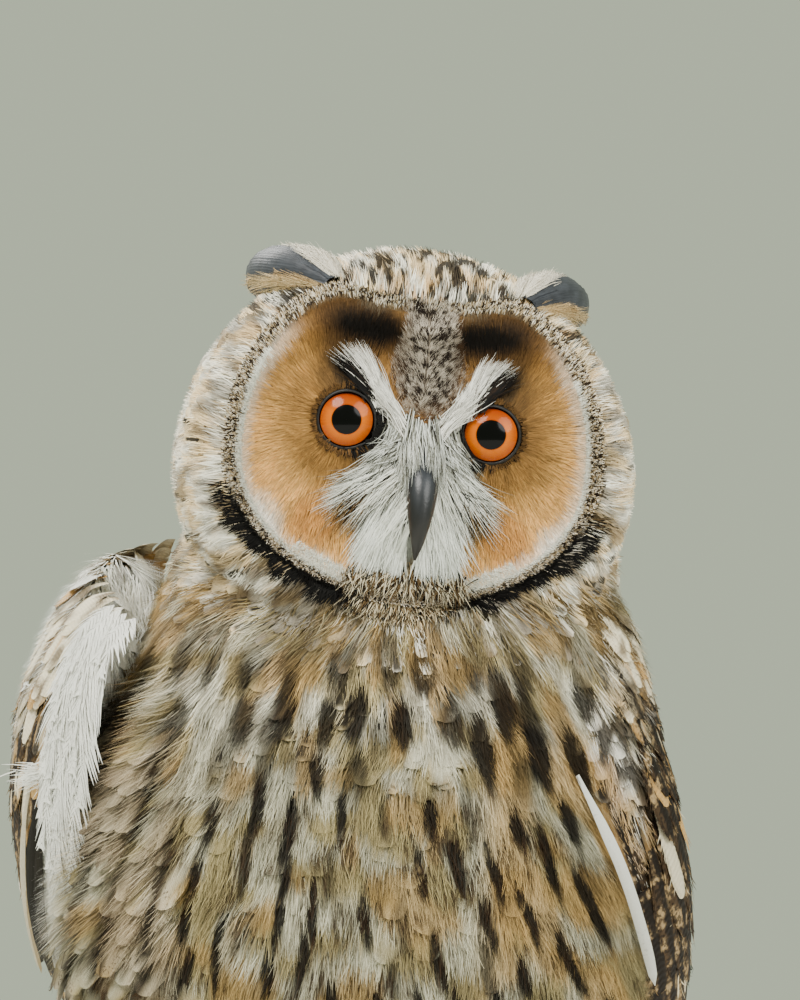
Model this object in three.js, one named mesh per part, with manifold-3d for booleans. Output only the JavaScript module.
// A long-eared owl standing on flat ground, life size, in millimetres.
// +Z is up, the owl faces -Y and its left side is towards +X.
// The origin is on the ground, under the middle of the whole bird.
import * as THREE from "three";
import { mergeVertices } from "three/addons/utils/BufferGeometryUtils.js";
import Module from "manifold-3d";

const wasm = await Module();
wasm.setup();

// Gaps and fineness
const GAP = 0.3; // between two parts that touch
const LAYER = 1.2; // from one feather's middle to that of the next one over it
const GROWN = 0.42; // a sloping surface moved out by this much keeps the gap
const MERGE = 1e-3;

// Pose
const BODY_YAW = THREE.MathUtils.degToRad(-9); // the breast turns to the owl's right
const HEAD_YAW = THREE.MathUtils.degToRad(7); // the face turns back to its left
const HEAD_ROLL = THREE.MathUtils.degToRad(6); // the crown leans to the owl's left
const HEAD_CENTRE = new THREE.Vector3(8.5, -20, 285);

// Trunk, from the belly up into the head: middle, half width, front and back at each height
const TRUNK = [
  { z: 60, x: 0, wide: 0, front: 24, back: 24 },
  { z: 66, x: 0, wide: 21, front: -2, back: 52 },
  { z: 80, x: 0, wide: 42, front: -32, back: 68 },
  { z: 96, x: 0, wide: 58, front: -51, back: 74 },
  { z: 114, x: -1, wide: 69, front: -64, back: 73 },
  { z: 132, x: -2, wide: 75, front: -72, back: 69 },
  { z: 151, x: -3, wide: 77, front: -76, back: 63 },
  { z: 171, x: -3, wide: 75, front: -77, back: 57 },
  { z: 190, x: -2, wide: 70.5, front: -75, back: 51 },
  { z: 208, x: 0, wide: 66, front: -70, back: 45 },
  { z: 228, x: 3, wide: 61.5, front: -61, back: 39 },
  { z: 246, x: 6, wide: 59.5, front: -51, back: 33 },
  { z: 262, x: 8.5, wide: 57, front: -42, back: 27 },
  { z: 276, x: 10, wide: 40, front: -34, back: 15 },
  { z: 282, x: 11, wide: 0, front: -18, back: -18 },
];
const TRUNK_ROUND = 2.15; // of the superellipse that each level is
const TRUNK_MIDDLE = 0.5; // share of the depth where a level is widest
const TRUNK_SIDES = 40;
const TRUNK_ROWS = 22;

// Head: outline from the front, about OUTLINE_Z, and depths from its centre
const HEAD_HALF_WIDTH = 60;
const OUTLINE_Z = -10;
const HEAD_ABOVE = 60.5;
const HEAD_BELOW = 48;
const HEAD_BACK = 45;
const HEAD_SIDES = 54;
const HEAD_ROWS = 22;
const RIM_ROW = 9; // the row of the mesh that is the crest of the facial disc's rim
const OUTLINE_ROW = 15; // the row where the head is widest

// Facial disc: half width, reach above and below its middle, and relief
const DISC_Z = -5.5;
const DISC_HALF_WIDTH = 50;
const DISC_ABOVE = 40;
const DISC_BELOW = 40;
const DISC_NOTCH = 0.14; // how far the forehead's wedge dips into the top
const DISC_NOTCH_WIDTH = 0.3;
const RIM_FRONT = -33;
const RIM_LIFT = 2.6; // of the rim over the ruff behind it
const RIM_WIDTH = 1.055;
const BOWL_DEPTH = 6;
const RIDGE_WIDTH = 7;
const RIDGE = [
  { z: -46, high: 0 },
  { z: -30, high: 5 },
  { z: -16, high: 10 },
  { z: 0, high: 11 },
  { z: 16, high: 9 },
  { z: 34, high: 2 },
];
const WHISKER_PAD = { x: 9, z: -17, wide: 9, tall: 12, high: 5 };
const EYE_MOUND = { from: 9, wide: 7, high: 6.5 }; // the face rises to the lids

// Eyes and lids
const EYE_X = 19;
const EYE_Y = -27;
const EYE_Z = 3.4;
const EYE_RADIUS = 10.5;
const EYE_TURN = THREE.MathUtils.degToRad(10); // each looks a little outwards
const LID_THICK = 1.3;
const LID_OPENING = THREE.MathUtils.degToRad(45);
const LID_EDGE = THREE.MathUtils.degToRad(78);
const EYE_SIDES = 18;
const EYE_ROWS = 10;

// Bill: upper mandible with its cere, lower mandible, and nostrils
const BILL_UPPER = [
  { at: [0, -33, -4], wide: 5.2, deep: 4.6 },
  { at: [0, -40.5, -7.5], wide: 5, deep: 5 },
  { at: [0, -46, -12.5], wide: 4.5, deep: 5 },
  { at: [0, -48.6, -19], wide: 3.4, deep: 3.9 },
  { at: [0, -49, -25.5], wide: 2, deep: 2.3 },
  { at: [0, -47.3, -31.2], wide: 0.35, deep: 0.35 },
];
const BILL_LOWER = [
  { at: [0, -31, -17], wide: 3.6, deep: 2.2 },
  { at: [0, -37, -19.5], wide: 3.6, deep: 2.3 },
  { at: [0, -42, -23], wide: 2.8, deep: 1.8 },
  { at: [0, -44.6, -26.2], wide: 1.1, deep: 0.8 },
];
const BILL_SIDES = 12;
const BILL_ROWS = 10;
const NOSTRIL = { x: 4.6, y: -43.2, z: -10.5, radius: 1.25 };

// Feathers: share of the length, of the half width, and thickness in millimetres
const VANE = [
  { s: 0, wide: 0.5, thick: 0.6 },
  { s: 0.24, wide: 0.75, thick: 0.6 },
  { s: 0.48, wide: 0.93, thick: 0.58 },
  { s: 0.7, wide: 1, thick: 0.56 },
  { s: 0.88, wide: 0.94, thick: 0.54 },
  { s: 0.965, wide: 0.6, thick: 0.5 },
  { s: 1, wide: 0.16, thick: 0.3 },
];
const SHORT_VANE = VANE.filter((_, i) => i !== 2);
const LENGTH_VARIES = 0.02;

// Ear tufts, laid back over the crown: their middle line, and their feathers from inner to outer
const TUFT = {
  root: [27, -20, 41],
  top: [33, -3, 48.5],
  tip: [40, 25, 41],
  feathers: 7,
  halfWidth: 6,
  fanned: 15, // sideways, between the tips of the first and the last
  gathered: 0.25, // how much of that is left at the root
  tilt: 0.35, // fall of the crown to its side
  shorter: 0.4, // the outermost feathers against the longest
  longest: 0.35, // where that one lies, from the inner side to the outer
  pad: { at: [28, -12, 37], wide: 8, long: 11, high: 6 },
};

// Wings: lower edge, middle and upper edge, each from wrist to tip, of the owl's left wing
const WING_LOWER = [
  [56, -34, 236],
  [62, -40, 208],
  [74, -27, 166],
  [73, 10, 122],
  [51, 62, 77],
  [32, 118, 38],
  [20, 168, 13],
];
const WING_MIDDLE = [
  [65, -8, 247],
  [74, -4, 212],
  [81, 11, 169],
  [73, 39, 129],
  [49, 80, 90],
  [31.5, 127, 49.5],
  [20.5, 170, 17],
];
const WING_UPPER = [
  [45, 14, 254],
  [47, 31, 218],
  [46, 48, 178],
  [42, 67, 138],
  [34, 94, 101],
  [26, 134, 59],
  [19, 172, 21],
];
// The right wrist is held off the body: how far its stations are moved out and up
const RIGHT_WING_OUT = [8, 16, 9, 3, 0, 0, 0];
const RIGHT_WING_UP = [8, 3, 0, 0, 0, 0, 0];
const WING_FILL = 30; // depth of the wing's root over the body
const WING_EDGE = 3; // how far its edges fall below its middle
const WRIST_ROUND = 0.07;
// Height of the wing's root over the wing surface, from the wrist to where the root ends
const WING_ROOT = [
  { at: 0, high: 1.6 },
  { at: 0.14, high: 1.4 },
  { at: 0.28, high: -1.7 },
  { at: 0.42, high: -4.7 },
  { at: 0.56, high: -7.6 },
];
// Tiers of the folded wing. Feathers run from the share t of the wing's length given by from to
// that given by to, at places across it from its lower edge (0) to its upper one (1), and rise
// from low to high over the wing surface.
const WING_TIERS = [
  // Primaries
  {
    across: [0.17, 0.8],
    from: 0.35,
    to: [0.985, 1, 0.985, 0.955, 0.91, 0.86, 0.8],
    low: -8.1,
    high: -2,
  },
  // Secondaries
  {
    across: [0.09, 0.92],
    from: 0.22,
    to: [0.6, 0.635, 0.67, 0.69, 0.7, 0.69],
    low: -5.3,
    high: -1.6,
  },
  // Greater coverts
  {
    across: [0.07, 0.82],
    from: 0.1,
    to: [0.41, 0.435, 0.455, 0.465, 0.465, 0.46],
    low: -3.2,
    high: 0.4,
  },
  // Median coverts and scapulars
  {
    across: [0.08, 0.93],
    from: 0.03,
    to: [0.25, 0.268, 0.285, 0.32, 0.4, 0.42],
    low: -1.1,
    high: 3.5,
  },
];
const FEATHER_OVERLAP = 0.68; // half width of a wing feather against the spacing of its tier
const FEATHER_HALF_WIDTH = 5.4; // at least
const LONG_FEATHER = 0.41; // share of the wing's length past which a feather has more stations
const WING_FLAT = [0.55, 0.85]; // along the wing, where its feathers come to lie parallel
const WING_BULGE = 0.6; // of the wing's middle, on that flat stretch

// Tail: the line of its top from inside the rump to the ground behind, and its feathers
const TAIL_LINE = [
  [0, 56, 106],
  [0, 92, 71],
  [0, 122, 38],
  [0, 147, 14.5],
  [0, 166, 8],
];
const TAIL_FEATHERS = 12;
const TAIL_ROOT_WIDTH = 30;
const TAIL_END_WIDTH = 62;
const TAIL_HALF_WIDTH = 7.2; // of one feather
const TAIL_SHORTER = 0.07; // the outermost feathers against the middle ones
const TAIL_LAYER = 1; // from one tail feather's middle to the next one's
const TAIL_ROOT = { to: 0.36, above: 1.4, rise: 4.5, below: 11.5, wide: 20 };
const TAIL_COVERTS = { count: 5, from: 0.06, to: 0.5, halfWidth: 6.4, spread: 26, high: 3.2 };

// Legs and feet
const LEG_LINE = [
  { at: [27, 2, 100], wide: 21, deep: 25 },
  { at: [27, -4, 76], wide: 18, deep: 21 },
  { at: [26, 1, 54], wide: 11.5, deep: 13 },
  { at: [26, -1, 30], wide: 8, deep: 8.5 },
  { at: [26, -6, 8], wide: 7.2, deep: 8 },
];
const LEG_SIDES = 12;
const LEG_ROWS = 9;
const ANKLE_CUT = 17;
const TOES = [
  { name: "inner", turn: -16, long: 33 },
  { name: "middle", turn: 12, long: 37 },
  { name: "outer", turn: 68, long: 31 },
  { name: "hind", turn: 172, long: 22 },
];
const TOE_RADIUS = 4.6;
const TOE_SIDES = 6;
const TOE_ROWS = 4;
const CLAW_LENGTH = 13;
const CLAW_RADIUS = 2.1;
const CLAW_SIDES = 6;
const CLAW_ROWS = 4;

const COLOURS = {
  plumage: 0xb9a078,
  flight: 0x5b4632,
  face: 0xb98a4e,
  tuft: 0x2a2622,
  iris: 0xe8731a,
  lid: 0x14110f,
  bill: 0x2b2a2c,
  leg: 0xcfae7d,
  claw: 0x171514,
};

const vector = (list) => new THREE.Vector3(...list);
const mirrored = (list) => [-list[0], list[1], list[2]];
const smoothCurve = (list) => new THREE.CatmullRomCurve3(list.map(vector));

// The value at share t of a list of stations, smooth through each of them.
function alongStations(stations, key, t) {
  const place = t * (stations.length - 1);
  const k = Math.min(Math.floor(place), stations.length - 2);
  const f = place - k;
  const value = (i) => stations[THREE.MathUtils.clamp(i, 0, stations.length - 1)][key];
  const [a, b, c, d] = [value(k - 1), value(k), value(k + 1), value(k + 2)];
  const bend = 2 * a - 5 * b + 4 * c - d + f * (3 * b - a - 3 * c + d);
  return b + 0.5 * f * (c - a + f * bend);
}

// Moves each vertex of a three.js geometry to the place that map gives for it.
function reshape(geometry, map) {
  const places = geometry.attributes.position;
  for (let i = 0; i < places.count; i += 1) {
    const moved = map(places.getX(i), places.getY(i), places.getZ(i));
    places.setXYZ(i, moved.x, moved.y, moved.z);
  }
  return geometry;
}

// A closed geometry as a solid with its faces pointing out.
function solidOf(geometry) {
  const bare = geometry.clone();
  bare.deleteAttribute("normal");
  bare.deleteAttribute("uv");
  const merged = mergeVertices(bare, MERGE);
  const vertProperties = merged.attributes.position.array;
  const triVerts = new Uint32Array(merged.index.array);
  const made = new wasm.Manifold(new wasm.Mesh({ numProp: 3, vertProperties, triVerts }));
  if (made.volume() > 0) return made;
  return new wasm.Manifold(new wasm.Mesh({ numProp: 3, vertProperties, triVerts: triVerts.reverse() }));
}

// The largest closed surface of a solid, so that no scrap or sealed hollow is left.
function largest(solid) {
  return solid.decompose().reduce((a, b) => (b.volume() > a.volume() ? b : a));
}

function placed(solid, matrix) {
  return solid.transform(matrix.toArray());
}

// A tube whose sections are ellipses, along stations of { at, wide, deep }.
function tube(stations, sides, rows, grow = 0) {
  const line = smoothCurve(stations.map((s) => s.at));
  const across = new THREE.Vector3(1, 0, 0);
  const geometry = new THREE.CylinderGeometry(1, 1, 1, sides, rows);
  reshape(geometry, (x, y, z) => {
    const t = 0.5 - y;
    const ahead = line.getTangent(t);
    const side = across.clone().addScaledVector(ahead, -across.dot(ahead)).normalize();
    const up = side.clone().cross(ahead);
    const end = t < 1e-6 ? -grow : t > 1 - 1e-6 ? grow : 0;
    return line
      .getPoint(t)
      .addScaledVector(side, x * (alongStations(stations, "wide", t) + grow))
      .addScaledVector(up, z * (alongStations(stations, "deep", t) + grow))
      .addScaledVector(ahead, end);
  });
  return solidOf(geometry);
}

// Numbers from 0 to 1 that are the same each time.
function seeded(seed) {
  let state = seed;
  return () => {
    state = (state * 1103515245 + 12345) % 2147483648;
    return state / 2147483648;
  };
}

// One feather: a thin plate with both faces split alike. place(s) gives its middle line with the
// directions up and side, its half width there, and how steeply it falls to its side.
function feather(place, stations) {
  const corners = [];
  const faces = [];
  const quad = (a, b, c, d) => faces.push(a, b, c, a, c, d);
  stations.forEach(({ s, wide, thick }) => {
    const { at, up, side, half, slope } = place(s);
    const edges = [[-1, 1], [1, 1], [1, -1], [-1, -1]];
    edges.forEach(([edge, face]) => {
      const out = edge * half * wide;
      const corner = at.clone().addScaledVector(side, out);
      corners.push(corner.addScaledVector(up, (face * thick) / 2 - out * slope));
    });
  });
  for (let i = 0; i < corners.length - 4; i += 4) {
    const j = i + 4;
    quad(i, i + 1, j + 1, j);
    faces.push(i + 3, j + 2, i + 2, i + 3, j + 3, j + 2);
    quad(i + 1, i + 2, j + 2, j + 1);
    quad(i, j, j + 3, i + 3);
  }
  const last = corners.length - 4;
  quad(0, 3, 2, 1);
  quad(last, last + 1, last + 2, last + 3);
  const geometry = new THREE.BufferGeometry().setFromPoints(corners);
  geometry.setIndex(faces);
  return geometry;
}

const joined = (solids) => solids.reduce((a, b) => a.add(b));

const bodyMatrix = new THREE.Matrix4().makeRotationZ(BODY_YAW);
const headMatrix = new THREE.Matrix4()
  .makeTranslation(HEAD_CENTRE)
  .multiply(new THREE.Matrix4().makeRotationZ(HEAD_YAW))
  .multiply(new THREE.Matrix4().makeRotationY(HEAD_ROLL));

// Breast, belly and back as one rounded form.
function trunkForm(grow) {
  const geometry = new THREE.SphereGeometry(1, TRUNK_SIDES, TRUNK_ROWS);
  const power = 2 / TRUNK_ROUND;
  const rounded = (value) => Math.sign(value) * Math.abs(value) ** power;
  reshape(geometry, (x, y, z) => {
    const t = 1 - Math.acos(THREE.MathUtils.clamp(y, -1, 1)) / Math.PI;
    const level = Math.hypot(x, z) || 1;
    const at = (key) => alongStations(TRUNK, key, t);
    const pole = t < 1e-6 || t > 1 - 1e-6;
    const front = pole ? at("front") : at("front") - grow;
    const back = pole ? at("back") : at("back") + grow;
    const wide = pole ? 0 : at("wide") + grow;
    const middle = front + TRUNK_MIDDLE * (back - front);
    const depth = z < 0 ? middle - front : back - middle;
    const rise = pole ? Math.sign(y) * grow : 0;
    return new THREE.Vector3(
      at("x") + wide * rounded(x / level),
      middle + depth * rounded(z / level),
      at("z") + rise,
    );
  });
  return placed(solidOf(geometry), bodyMatrix);
}

function discRadius(angle) {
  const reach = Math.sin(angle) > 0 ? DISC_ABOVE : DISC_BELOW;
  const ellipse = 1 / Math.hypot(Math.cos(angle) / DISC_HALF_WIDTH, Math.sin(angle) / reach);
  const fromTop = (angle - Math.PI / 2) / DISC_NOTCH_WIDTH;
  return ellipse * (1 - DISC_NOTCH * Math.exp(-fromTop * fromTop));
}

function headRadius(angle) {
  const reach = Math.sin(angle) > 0 ? HEAD_ABOVE : HEAD_BELOW;
  return 1 / Math.hypot(Math.cos(angle) / HEAD_HALF_WIDTH, Math.sin(angle) / reach);
}

function ridgeHeight(z) {
  const first = RIDGE[0].z;
  const last = RIDGE[RIDGE.length - 1].z;
  const t = THREE.MathUtils.clamp((z - first) / (last - first), 0, 1);
  return Math.max(0, alongStations(RIDGE, "high", t));
}

function rimDepth(angle) {
  const up = Math.sin(angle);
  return RIM_FRONT + (up > 0 ? 6 : -3) * up * up;
}

// How far forward the face is at a place on it: bowl, ridge, whisker pads and mounds of the eyes.
function faceDepth(x, z, share, angle) {
  const bowl = BOWL_DEPTH * (1 - share ** 4);
  const ridge = ridgeHeight(z) * Math.exp(-((x / RIDGE_WIDTH) ** 2));
  const padX = (Math.abs(x) - WHISKER_PAD.x) / WHISKER_PAD.wide;
  const padZ = (z - WHISKER_PAD.z) / WHISKER_PAD.tall;
  const pad = WHISKER_PAD.high * Math.exp(-padX * padX - padZ * padZ);
  const fromEye = Math.hypot(Math.abs(x) - EYE_X, z - EYE_Z);
  const away = Math.max(0, fromEye - EYE_MOUND.from) / EYE_MOUND.wide;
  const mound = EYE_MOUND.high * Math.exp(-away * away);
  return rimDepth(angle) + bowl - ridge - pad - mound;
}

// Head with its facial disc: rings of the mesh follow the disc, its rim and the outline.
function headForm(grow) {
  const geometry = new THREE.SphereGeometry(1, HEAD_SIDES, HEAD_ROWS);
  reshape(geometry, (px, py, pz) => {
    const row = (Math.acos(THREE.MathUtils.clamp(py, -1, 1)) / Math.PI) * HEAD_ROWS;
    const angle = Math.atan2(pz, px);
    const along = new THREE.Vector3(Math.cos(angle), 0, Math.sin(angle));
    const disc = discRadius(angle);
    if (row < RIM_ROW + 0.5) {
      const share = Math.min(1, row / RIM_ROW);
      const place = along.clone().multiplyScalar(share * disc);
      place.z += DISC_Z;
      place.y = faceDepth(place.x, place.z, share, angle) - grow;
      return place;
    }
    const rim = along.clone().multiplyScalar(disc * RIM_WIDTH + grow);
    rim.z += DISC_Z;
    const outline = along.clone().multiplyScalar(headRadius(angle) + grow);
    outline.z += OUTLINE_Z;
    if (row < OUTLINE_ROW + 0.5) {
      const turn = ((row - RIM_ROW - 1) / (OUTLINE_ROW - RIM_ROW - 1)) * (Math.PI / 2);
      const place = rim.lerp(outline, Math.sin(turn));
      place.y = (rimDepth(angle) + RIM_LIFT - grow) * Math.cos(turn);
      return place;
    }
    const turn = ((row - OUTLINE_ROW) / (HEAD_ROWS - OUTLINE_ROW)) * (Math.PI / 2);
    outline.z -= OUTLINE_Z;
    outline.multiplyScalar(Math.cos(turn));
    outline.z += OUTLINE_Z;
    outline.y = (HEAD_BACK + grow) * Math.sin(turn);
    return outline;
  });
  return solidOf(geometry);
}

function eyeMatrix(side) {
  return new THREE.Matrix4()
    .makeTranslation(side * EYE_X, EYE_Y, EYE_Z)
    .multiply(new THREE.Matrix4().makeRotationZ(side * EYE_TURN));
}

// Eyeball, with its axis along -Y.
function eyeForm(side, grow) {
  const geometry = new THREE.SphereGeometry(EYE_RADIUS + grow, EYE_SIDES, EYE_ROWS);
  return placed(solidOf(geometry), eyeMatrix(side));
}

// Lids as one ring round the eye, cut from a shell about the eyeball.
function lidForm(side, grow) {
  const inner = EYE_RADIUS + GAP - grow;
  const outer = EYE_RADIUS + GAP + LID_THICK + grow;
  const steps = 2;
  const from = LID_OPENING - grow / EYE_RADIUS;
  const to = LID_EDGE + grow / EYE_RADIUS;
  const profile = [];
  for (let i = 0; i <= steps; i += 1) {
    const turn = from + ((to - from) * i) / steps;
    profile.push(new THREE.Vector2(outer * Math.sin(turn), outer * Math.cos(turn)));
  }
  for (let i = steps; i >= 0; i -= 1) {
    const turn = from + ((to - from) * i) / steps;
    profile.push(new THREE.Vector2(inner * Math.sin(turn), inner * Math.cos(turn)));
  }
  profile.push(profile[0].clone());
  const geometry = new THREE.LatheGeometry(profile, EYE_SIDES);
  geometry.rotateX(Math.PI);
  return placed(solidOf(geometry), eyeMatrix(side));
}

function billUpperForm(grow) {
  return tube(BILL_UPPER, BILL_SIDES, BILL_ROWS, grow);
}

function billLowerForm(grow) {
  return tube(BILL_LOWER, BILL_SIDES, BILL_ROWS - 4, grow);
}

function nostrils() {
  const hole = (side) => {
    const geometry = new THREE.SphereGeometry(NOSTRIL.radius, 7, 5);
    geometry.translate(side * NOSTRIL.x, NOSTRIL.y, NOSTRIL.z);
    return solidOf(geometry);
  };
  return hole(1).add(hole(-1));
}

function tuftFeather(side, i) {
  const share = i / (TUFT.feathers - 1);
  const random = seeded(31 + i);
  const long = 1 - TUFT.shorter * Math.abs(share - TUFT.longest) * (1 + LENGTH_VARIES * random());
  const line = smoothCurve([TUFT.root, TUFT.top, TUFT.tip]);
  const across = new THREE.Vector3(1, 0, -TUFT.tilt);
  const place = (s) => {
    const at = line.getPoint(s * long);
    at.addScaledVector(across, (share - 0.5) * TUFT.fanned * THREE.MathUtils.lerp(TUFT.gathered, 1, s));
    at.z -= i * LAYER;
    const ahead = line.getTangent(s * long);
    const sideways = across.clone().addScaledVector(ahead, -across.dot(ahead)).normalize();
    return { at, up: sideways.clone().cross(ahead), side: sideways, half: TUFT.halfWidth, slope: 0 };
  };
  return solidOf(feather(place, SHORT_VANE).scale(side, 1, 1));
}

function tuftForm(side) {
  const { at, wide, long, high } = TUFT.pad;
  const pad = new THREE.SphereGeometry(1, 12, 8);
  pad.scale(wide, long, high);
  pad.translate(side * at[0], at[1], at[2]);
  const feathers = Array.from({ length: TUFT.feathers }, (_, i) => tuftFeather(side, i));
  return joined([solidOf(pad), ...feathers]);
}

// A place on the wing: t from wrist to tip, across from the lower edge (0) to the upper (1).
function wingPoint(curves, t, across) {
  const [low, middle, high] = curves.map((curve) => curve.getPoint(t));
  return low
    .multiplyScalar((1 - across) * (1 - 2 * across))
    .addScaledVector(middle, 4 * across * (1 - across))
    .addScaledVector(high, across * (2 * across - 1));
}

function wingNormal(curves, t, across) {
  const step = 0.01;
  const ahead = wingPoint(curves, Math.min(1, t + step), across);
  ahead.sub(wingPoint(curves, Math.max(0, t - step), across));
  const up = wingPoint(curves, t, across + step).sub(wingPoint(curves, t, across - step));
  return ahead.cross(up).normalize();
}

function wingCurves(side) {
  const held = side < 0 ? 1 : 0;
  const moved = ([x, y, z], i) => [x + held * RIGHT_WING_OUT[i], y, z + held * RIGHT_WING_UP[i]];
  const edge = (list) => smoothCurve(list.map(moved));
  return [edge(WING_LOWER), edge(WING_MIDDLE), edge(WING_UPPER)];
}

// The wing's root: shoulder, arm and the skin that the feathers grow from.
function wingRoot(curves) {
  const geometry = new THREE.CylinderGeometry(1, 1, 1, 10, 8);
  const end = WING_ROOT[WING_ROOT.length - 1].at;
  return reshape(geometry, (x, y, z) => {
    const t = end * (0.5 - y) ** 1.3;
    const round = Math.sqrt(Math.min(1, (t + 0.004) / WRIST_ROUND));
    const top = alongStations(WING_ROOT, "high", t / end) * round;
    const level = z > 0 ? top - WING_EDGE * (1 - z) : top - WING_EDGE + z * WING_FILL;
    const across = 0.5 + 0.46 * x * round;
    return wingPoint(curves, t, across).addScaledVector(wingNormal(curves, t, across), level * round);
  });
}

// A place of a tier: on the rounded wing near the wrist, and on a flat plate near the tip.
function tierPlace(curves, tier, across, t) {
  const flat = THREE.MathUtils.smoothstep(t, ...WING_FLAT);
  const up = wingNormal(curves, t, THREE.MathUtils.lerp(across, 0.5, flat));
  const [low, middle, high] = curves.map((curve) => curve.getPoint(t));
  const bulge = middle.addScaledVector(low, -0.5).addScaledVector(high, -0.5);
  const level = low.lerp(high, across).addScaledVector(bulge, WING_BULGE);
  const risen = (t - tier.from) / (Math.max(...tier.to) - tier.from);
  const at = wingPoint(curves, t, across).lerp(level, flat);
  at.addScaledVector(up, THREE.MathUtils.lerp(tier.low, tier.high, risen * risen));
  return { at, up };
}

// How steeply a feather falls to its side to clear the next one over it by a layer.
function clearingSlope(here, next, side, half) {
  const step = next.at.clone().sub(here.at);
  const apart = step.dot(side);
  return (LAYER - step.dot(here.up) + next.up.dot(side) * (half - apart)) / apart;
}

// Feather number i of a tier, which lies over the one before it.
function wingFeather(curves, tier, i, random) {
  const spacing = (tier.across[1] - tier.across[0]) / (tier.to.length - 1);
  const across = tier.across[0] + i * spacing;
  const to = Math.min(1, tier.to[i] * (1 + LENGTH_VARIES * (random() - 0.5)));
  const step = 0.01;
  const place = (s) => {
    const t = THREE.MathUtils.lerp(tier.from, to, s);
    const { at, up } = tierPlace(curves, tier, across, t);
    const ahead = tierPlace(curves, tier, across, Math.min(1, t + step)).at;
    ahead.sub(tierPlace(curves, tier, across, Math.max(0, t - step)).at).normalize();
    up.addScaledVector(ahead, -up.dot(ahead)).normalize();
    const side = up.clone().cross(ahead);
    const next = tierPlace(curves, tier, across + spacing, t);
    const half = Math.max(FEATHER_HALF_WIDTH, FEATHER_OVERLAP * next.at.distanceTo(at));
    const before = tierPlace(curves, tier, across - spacing, t);
    const over = clearingSlope({ at, up }, next, side, half);
    const under = clearingSlope(before, { at, up }, side, half);
    return { at, up, side, half, slope: Math.max(over, under) };
  };
  return feather(place, to - tier.from > LONG_FEATHER ? VANE : SHORT_VANE);
}

function wingForm(side) {
  const curves = wingCurves(side);
  const random = seeded(7);
  const geometries = [wingRoot(curves)];
  WING_TIERS.forEach((tier) => {
    tier.to.forEach((_, i) => geometries.push(wingFeather(curves, tier, i, random)));
  });
  const solids = geometries.map((geometry) => solidOf(geometry.scale(side, 1, 1)));
  return placed(joined(solids), bodyMatrix);
}

// A place on the tail: t along it, x millimetres to the side and high millimetres over its top.
function tailPoint(line, t, x, high) {
  const up = new THREE.Vector3(1, 0, 0).cross(line.getTangent(t));
  return line.getPoint(t).add(new THREE.Vector3(x, 0, 0)).addScaledVector(up, high);
}

function tailFeather(line, { from, to, root, tip, high, halfWidth }) {
  const { lerp } = THREE.MathUtils;
  const point = (s) => tailPoint(line, lerp(from, to, s), lerp(root, tip, s), high);
  const place = (s) => {
    const step = 0.01;
    const ahead = point(Math.min(1, s + step)).sub(point(Math.max(0, s - step))).normalize();
    const across = new THREE.Vector3(1, 0, 0).addScaledVector(ahead, -ahead.x).normalize();
    return { at: point(s), up: across.clone().cross(ahead), side: across, half: halfWidth, slope: 0 };
  };
  return feather(place, SHORT_VANE);
}

// The tail: each feather lies under its inner neighbour, and the left half one layer lower.
function tailForm() {
  const line = smoothCurve(TAIL_LINE);
  const pairs = TAIL_FEATHERS / 2;
  const geometries = [];
  for (let i = 0; i < TAIL_FEATHERS; i += 1) {
    const side = i < pairs ? -1 : 1;
    const rank = side > 0 ? i - pairs : pairs - 1 - i;
    const out = (side * (rank + 0.5)) / pairs;
    const layer = rank === 0 ? (1 - side) / 2 : rank + 1 + (1 - side) / 2;
    geometries.push(tailFeather(line, {
      from: 0.12,
      to: 1 - TAIL_SHORTER * (rank / (pairs - 1)) ** 2,
      root: (out * TAIL_ROOT_WIDTH) / 2,
      tip: (out * TAIL_END_WIDTH) / 2,
      high: -layer * TAIL_LAYER,
      halfWidth: TAIL_HALF_WIDTH,
    }));
  }
  for (let i = 0; i < TAIL_COVERTS.count; i += 1) {
    const middle = (TAIL_COVERTS.count - 1) / 2;
    const out = ((i - middle) / middle) * TAIL_COVERTS.spread / 2;
    geometries.push(tailFeather(line, {
      from: TAIL_COVERTS.from,
      to: TAIL_COVERTS.to * (1 - 0.06 * Math.abs(i - middle)),
      root: out * 0.95,
      tip: out,
      high: TAIL_COVERTS.high - TAIL_LAYER * Math.abs(i - middle),
      halfWidth: TAIL_COVERTS.halfWidth,
    }));
  }
  const root = new THREE.CylinderGeometry(1, 1, 1, 12, 5);
  geometries.push(reshape(root, (x, y, z) => {
    const t = TAIL_ROOT.to * (0.5 - y);
    const end = 1 - 0.25 * (t / TAIL_ROOT.to) ** 2;
    const above = TAIL_ROOT.above + TAIL_ROOT.rise * (1 - t / TAIL_ROOT.to);
    const high = z * (z > 0 ? above : TAIL_ROOT.below * end);
    return tailPoint(line, t, x * TAIL_ROOT.wide * end, high);
  }));
  return placed(joined(geometries.map(solidOf)), bodyMatrix);
}

function legForm(side, grow) {
  const stations = LEG_LINE.map((station) => {
    return side > 0 ? station : { ...station, at: mirrored(station.at) };
  });
  return placed(tube(stations, LEG_SIDES, LEG_ROWS, grow), bodyMatrix);
}

function toeLine(side, toe) {
  const foot = LEG_LINE[LEG_LINE.length - 1].at;
  const turn = THREE.MathUtils.degToRad(toe.turn) * side;
  const ahead = new THREE.Vector3(Math.sin(turn), -Math.cos(turn), 0);
  const start = new THREE.Vector3(side * foot[0], foot[1], 8);
  return { start, ahead };
}

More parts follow.
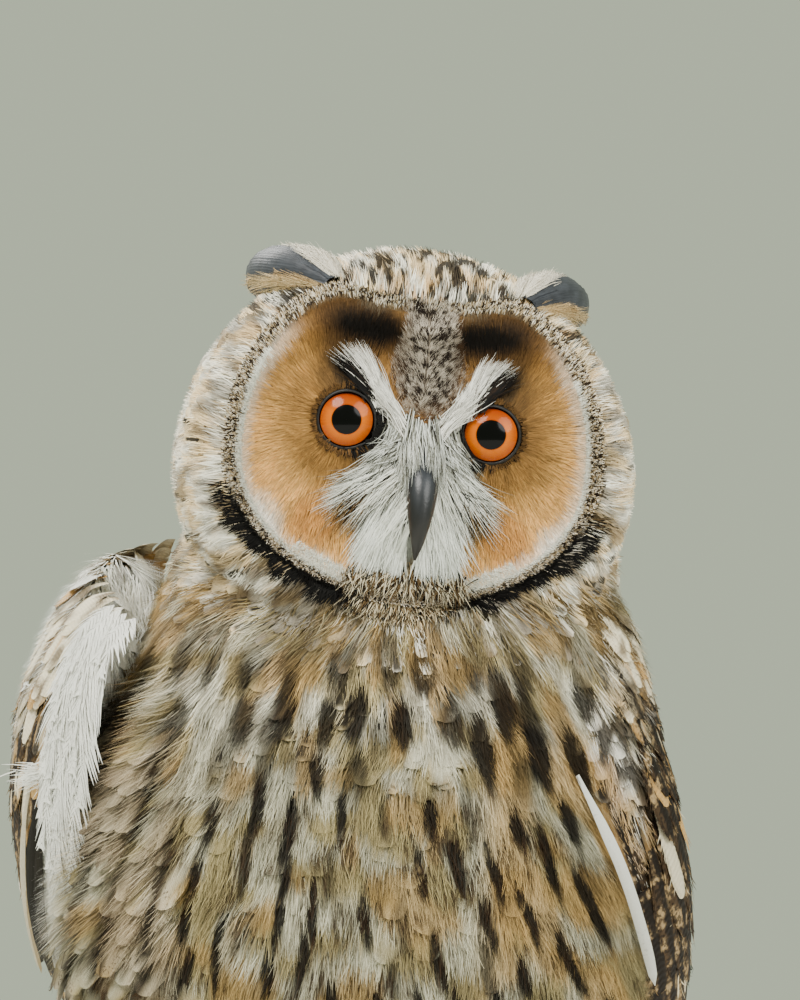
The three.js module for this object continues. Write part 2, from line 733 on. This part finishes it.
function toeForm(side, toe) {
  const { start, ahead } = toeLine(side, toe);
  const at = (far, high) => start.clone().addScaledVector(ahead, far).setZ(high).toArray();
  const rounded = (high, share) => ({ at: high, wide: TOE_RADIUS * share, deep: TOE_RADIUS * share });
  const stations = [
    rounded(at(0, 7), 1.6),
    rounded(at(toe.long * 0.45, 4.8), 1.12),
    rounded(at(toe.long * 0.82, 4), 0.96),
    rounded(at(toe.long, 3.2), 0.55),
  ];
  return placed(turnedTube(stations, ahead, TOE_SIDES, TOE_ROWS, 0), bodyMatrix);
}

function clawForm(side, toe, grow) {
  const { start, ahead } = toeLine(side, toe);
  const at = (far, high) => start.clone().addScaledVector(ahead, toe.long + far).setZ(high).toArray();
  const rounded = (place, share) => {
    return { at: place, wide: CLAW_RADIUS * share, deep: CLAW_RADIUS * share };
  };
  const stations = [
    rounded(at(-5, 4.4), 0.95),
    rounded(at(0, 5.2), 1),
    rounded(at(CLAW_LENGTH * 0.55, 4.6), 0.66),
    rounded(at(CLAW_LENGTH * 0.95, 1.1), 0.16),
  ];
  return placed(turnedTube(stations, ahead, CLAW_SIDES, CLAW_ROWS, grow), bodyMatrix);
}

// A tube whose sections stand across a level heading.
function turnedTube(stations, ahead, sides, rows, grow) {
  const heading = Math.atan2(ahead.x, -ahead.y);
  const turn = new THREE.Matrix4().makeRotationZ(heading);
  const back = turn.clone().invert();
  const straight = stations.map(({ at, wide, deep }) => ({
    at: vector(at).applyMatrix4(back).toArray(),
    wide,
    deep,
  }));
  return placed(tube(straight, sides, rows, grow), turn);
}

const GROUND = [0, 0, 1];
const aboveGround = (solid) => solid.trimByPlane(GROUND, 0);

// The plane of a cut through the whole bird that rises from front to back.
function neckPlane(front, back) {
  const rise = (back.z - front.z) / (back.y - front.y);
  const normal = new THREE.Vector3(0, -rise, 1).normalize();
  return { normal, offset: normal.y * front.y + normal.z * front.z };
}
const CHIN_TO_NAPE = neckPlane({ y: -62, z: 236 }, { y: 28, z: 264 });
const BREAST_TO_BACK = neckPlane({ y: -66, z: 214 }, { y: 40, z: 244 });

function aboveCut(solid, { normal, offset }) {
  return solid.trimByPlane(normal.toArray(), offset + GAP / 2);
}

function belowCut(solid, { normal, offset }) {
  return solid.trimByPlane(normal.clone().negate().toArray(), GAP / 2 - offset);
}

const SIDES = [
  { name: "left", side: 1 },
  { name: "right", side: -1 },
];

const owl = new THREE.Group();

function part(name, solid, colour, roughness) {
  const { numProp, vertProperties, triVerts } = solid.getMesh();
  const places = new Float32Array((vertProperties.length / numProp) * 3);
  for (let i = 0; i < places.length / 3; i += 1) {
    places.set(vertProperties.subarray(i * numProp, i * numProp + 3), i * 3);
  }
  const geometry = new THREE.BufferGeometry();
  geometry.setAttribute("position", new THREE.BufferAttribute(places, 3));
  geometry.setIndex(new THREE.BufferAttribute(triVerts, 1));
  geometry.computeVertexNormals();
  const material = new THREE.MeshStandardMaterial({ color: colour, roughness, metalness: 0 });
  const mesh = new THREE.Mesh(geometry, material);
  mesh.name = name;
  owl.add(mesh);
}

const trunk = trunkForm(0);
const trunkRoom = trunkForm(GROWN);
const headRoom = placed(headForm(GROWN), headMatrix);

function buildHead() {
  let head = headForm(0);
  SIDES.forEach(({ name, side }) => {
    const eye = eyeForm(side, 0);
    const lids = lidForm(side, 0);
    head = head.subtract(eyeForm(side, GAP)).subtract(lidForm(side, GAP));
    part(`eye_${name}`, placed(eye, headMatrix), COLOURS.iris, 0.1);
    part(`eyelids_${name}`, placed(lids, headMatrix), COLOURS.lid, 0.5);
    const tuft = largest(tuftForm(side).subtract(headForm(GROWN)));
    part(`ear_tuft_${name}`, placed(tuft, headMatrix), COLOURS.tuft, 0.9);
  });
  head = head.subtract(billUpperForm(GAP)).subtract(billLowerForm(GAP));
  const whole = placed(largest(head), headMatrix).add(trunk);
  const upper = largest(billUpperForm(0).subtract(billLowerForm(GAP)).subtract(nostrils()));
  part("bill_upper", placed(upper, headMatrix), COLOURS.bill, 0.35);
  part("bill_lower", placed(billLowerForm(0), headMatrix), COLOURS.bill, 0.4);
  return whole;
}

function buildTrunk(whole) {
  part("head", largest(aboveCut(whole, CHIN_TO_NAPE)), COLOURS.face, 0.9);
  const neck = aboveCut(belowCut(whole, CHIN_TO_NAPE), BREAST_TO_BACK);
  part("neck", largest(neck), COLOURS.plumage, 0.9);
  part("torso", largest(belowCut(whole, BREAST_TO_BACK)), COLOURS.plumage, 0.9);
}

function buildWings() {
  SIDES.forEach(({ name, side }) => {
    const wing = wingForm(side).subtract(trunkRoom).subtract(headRoom);
    part(`wing_${name}`, largest(wing), COLOURS.flight, 0.85);
  });
}

function buildTail() {
  part("tail", largest(aboveGround(tailForm()).subtract(trunkRoom)), COLOURS.flight, 0.85);
}

function buildLegs() {
  SIDES.forEach(({ name, side }) => {
    const leg = legForm(side, 0);
    const shin = leg.subtract(trunkRoom).trimByPlane(GROUND, ANKLE_CUT + GAP);
    part(`leg_${name}`, largest(shin), COLOURS.leg, 0.9);
    let foot = leg;
    TOES.forEach((toe) => {
      foot = foot.add(toeForm(side, toe));
    });
    TOES.forEach((toe) => {
      foot = foot.subtract(clawForm(side, toe, GAP));
      const claw = aboveGround(clawForm(side, toe, 0));
      part(`claw_${name}_${toe.name}`, claw, COLOURS.claw, 0.3);
    });
    foot = aboveGround(foot).trimByPlane([0, 0, -1], -ANKLE_CUT);
    part(`foot_${name}`, largest(foot), COLOURS.leg, 0.9);
  });
}

buildTrunk(buildHead());
buildWings();
buildTail();
buildLegs();

// The origin goes under the middle of the bird, on the ground.
const box = new THREE.Box3().setFromObject(owl);
const middle = box.getCenter(new THREE.Vector3());
owl.position.set(-middle.x, -middle.y, -box.min.z);

export default owl;
